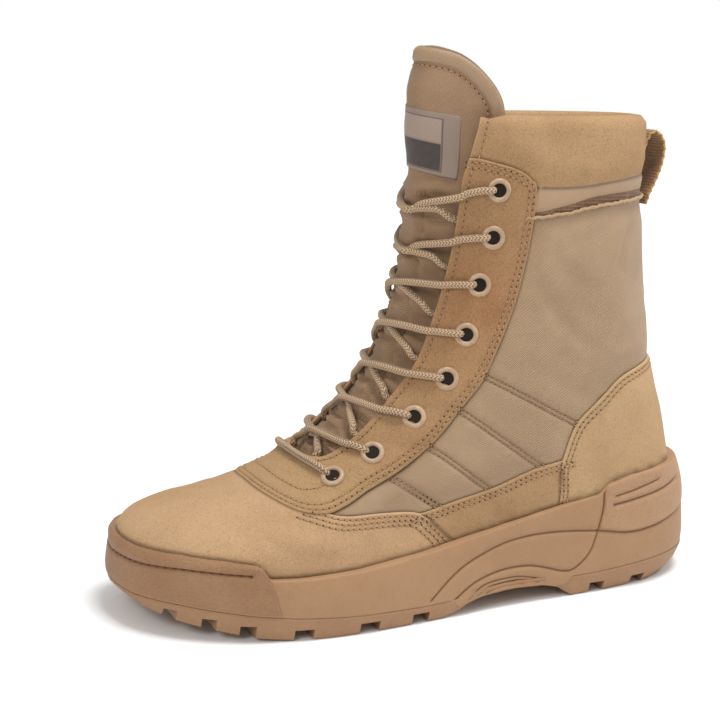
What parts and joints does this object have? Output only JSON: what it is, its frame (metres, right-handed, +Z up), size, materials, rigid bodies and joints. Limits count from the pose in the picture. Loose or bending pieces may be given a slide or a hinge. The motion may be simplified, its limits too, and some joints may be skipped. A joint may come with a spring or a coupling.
{
  "type": "combat boot",
  "caption": "Tall lace-up left boot: suede and nylon upper open at the collar, padded tongue, metal eyelets, round lace, heel pull loop, lugged rubber sole.",
  "frame": {"origin": "on the ground under the middle of the sole", "axes": "+Z up, toe towards -Y, outer (lateral) side of this left boot towards +X"},
  "size_m": [0.105, 0.3085, 0.2624],
  "materials": {
    "sole_rubber": "moulded rubber, satin",
    "suede": "suede, short nap",
    "tongue_nylon": "padded woven nylon",
    "footbed": "brushed lining fabric",
    "webbing": "woven webbing",
    "eyelet_metal": "sand enamel, satin",
    "lace_cord": "round braided polyester"
  },
  "bodies": {
    "root": {"outsole": "sole_rubber", "midsole": "sole_rubber", "insole": "footbed", "upper": "suede", "tongue": "tongue_nylon", "pull_loop": "webbing", "eyelet_lat_1": "eyelet_metal", "eyelet_med_1": "eyelet_metal", "eyelet_lat_2": "eyelet_metal", "eyelet_med_2": "eyelet_metal", "eyelet_lat_3": "eyelet_metal", "eyelet_med_3": "eyelet_metal", "eyelet_lat_4": "eyelet_metal", "eyelet_med_4": "eyelet_metal", "eyelet_lat_5": "eyelet_metal", "eyelet_med_5": "eyelet_metal", "eyelet_lat_6": "eyelet_metal", "eyelet_med_6": "eyelet_metal", "eyelet_lat_7": "eyelet_metal", "eyelet_med_7": "eyelet_metal", "eyelet_lat_8": "eyelet_metal", "eyelet_med_8": "eyelet_metal", "lace_bar": "lace_cord", "lace_cross_1": "lace_cord", "lace_cross_2": "lace_cord", "lace_cross_3": "lace_cord", "lace_cross_4": "lace_cord", "lace_cross_5": "lace_cord", "lace_cross_6": "lace_cord", "lace_cross_7": "lace_cord"}
  },
  "joints": []
}
